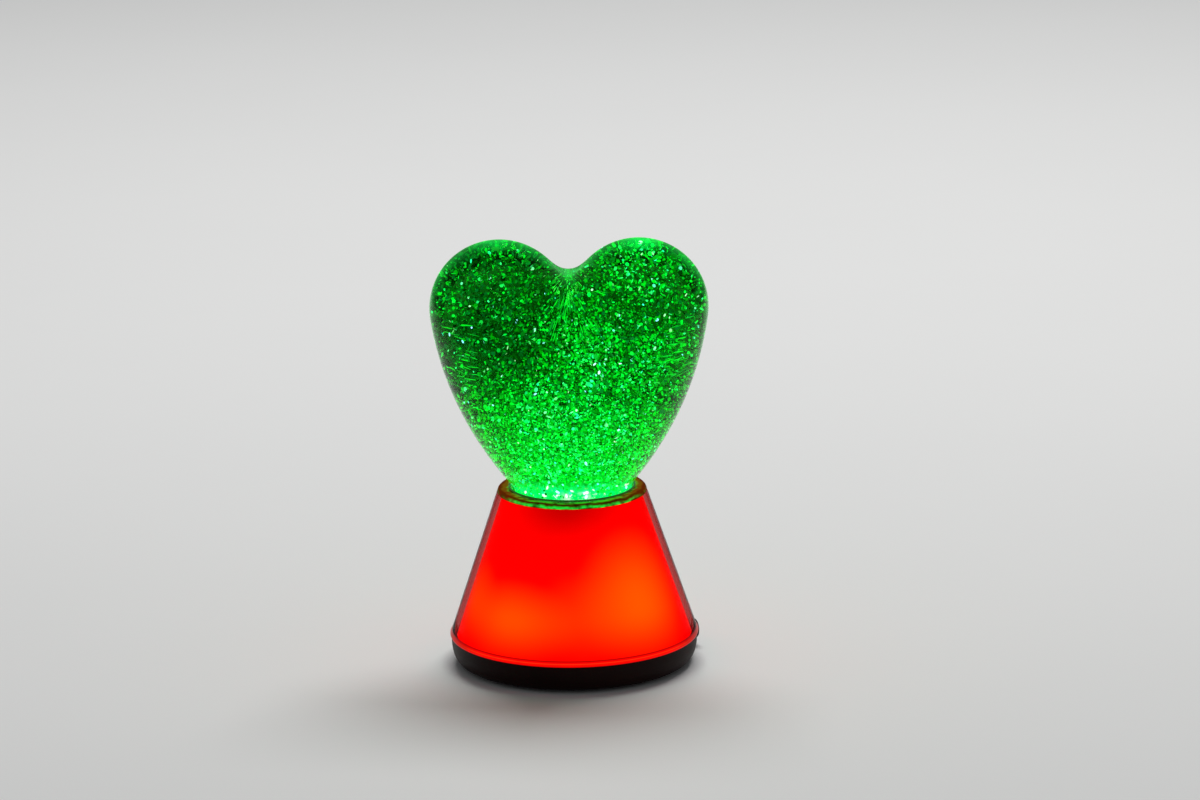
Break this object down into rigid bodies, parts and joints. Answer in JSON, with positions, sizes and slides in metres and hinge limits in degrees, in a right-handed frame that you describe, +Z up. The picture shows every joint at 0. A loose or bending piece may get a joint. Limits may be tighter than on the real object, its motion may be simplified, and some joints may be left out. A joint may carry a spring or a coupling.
{
  "type": "glitter lamp",
  "caption": "Battery lamp with a clear heart of liquid and stirred glitter on a clear cone base over a glowing diffuser, with a push button and a twist-off battery door.",
  "frame": {"origin": "on the table, under the lamp's axis", "axes": "+Z up along the lamp's axis, +X to the right seen from the front, +Y to the back"},
  "size_m": [0.1296, 0.117, 0.2035],
  "materials": {
    "vessel_clear": "clear moulded plastic",
    "liquid_green": "clear liquid, lit green",
    "flake_film": "shiny film flakes",
    "cover_clear": "clear moulded plastic",
    "diffuser_red": "frosted, lit red from inside",
    "tray_black": "satin black",
    "button_black": "satin black",
    "bay_black": "matte black",
    "tower_white": "matte white",
    "plug_clear": "clear moulded plastic",
    "gasket_clear": "clear silicone",
    "seal_rubber": "matte",
    "foot_rubber": "matte",
    "board_green": "solder mask",
    "red_light": "clear dome, lit",
    "green_light": "clear dome, lit",
    "motor_steel": "plated can",
    "screw_steel": "plated",
    "contact_nickel": "nickel plate",
    "cell_wrap": "printed wrap, plain",
    "wire_red": "insulation"
  },
  "bodies": {
    "base": {"foot_pads": "foot_rubber", "tray": "tray_black", "battery_bay": "bay_black", "battery_cells": "cell_wrap", "contact_springs": "contact_nickel", "contact_plates": "contact_nickel", "tower": "tower_white", "base_board": "board_green", "base_leds": "red_light", "motor_plate": "tower_white", "motor": "motor_steel", "heart_board": "board_green", "heart_leds": "green_light", "plug": "plug_clear", "plug_seal": "seal_rubber", "stirrer_pin": "screw_steel", "stirrer_clip": "screw_steel", "heart_vessel": "vessel_clear", "glitter_liquid": "liquid_green", "glitter_flakes": "flake_film", "neck_gasket": "gasket_clear", "clear_cover": "cover_clear", "diffuser": "diffuser_red", "switch_body": "bay_black", "base_screws": "screw_steel", "plate_screws": "screw_steel", "motor_screws": "screw_steel", "battery_lead": "wire_red", "switch_lead": "wire_red", "motor_lead": "wire_red", "heart_lead": "wire_red"},
    "door": {"battery_door": "tray_black"},
    "button": {"power_button": "button_black"},
    "rotor": {"motor_shaft": "screw_steel", "rotor": "bay_black", "rotor_magnets": "contact_nickel"},
    "stirrer": {"stirrer": "tower_white", "stirrer_magnets": "contact_nickel"}
  },
  "joints": [
    {"name": "power_press", "type": "slide", "parent": "base", "child": "button", "axis": [-0.9239, -0.3827, 0], "range_m": [0, 0.002], "stiffness_N_per_m": 400},
    {"name": "door_twist", "type": "hinge", "parent": "base", "child": "door", "pos_m": [0, 0, 0.0025], "axis": [0, 0, 1], "range_deg": [0, 30]},
    {"name": "rotor_spin", "type": "hinge", "parent": "base", "child": "rotor", "pos_m": [0, 0, 0.0615], "axis": [0, 0, 1], "continuous": true},
    {"name": "stirrer_spin", "type": "hinge", "parent": "base", "child": "stirrer", "pos_m": [0, 0, 0.0753], "axis": [0, 0, 1], "continuous": true}
  ],
  "couplings": [
    {"joint": "stirrer_spin", "follows": "rotor_spin", "ratio": 1}
  ]
}
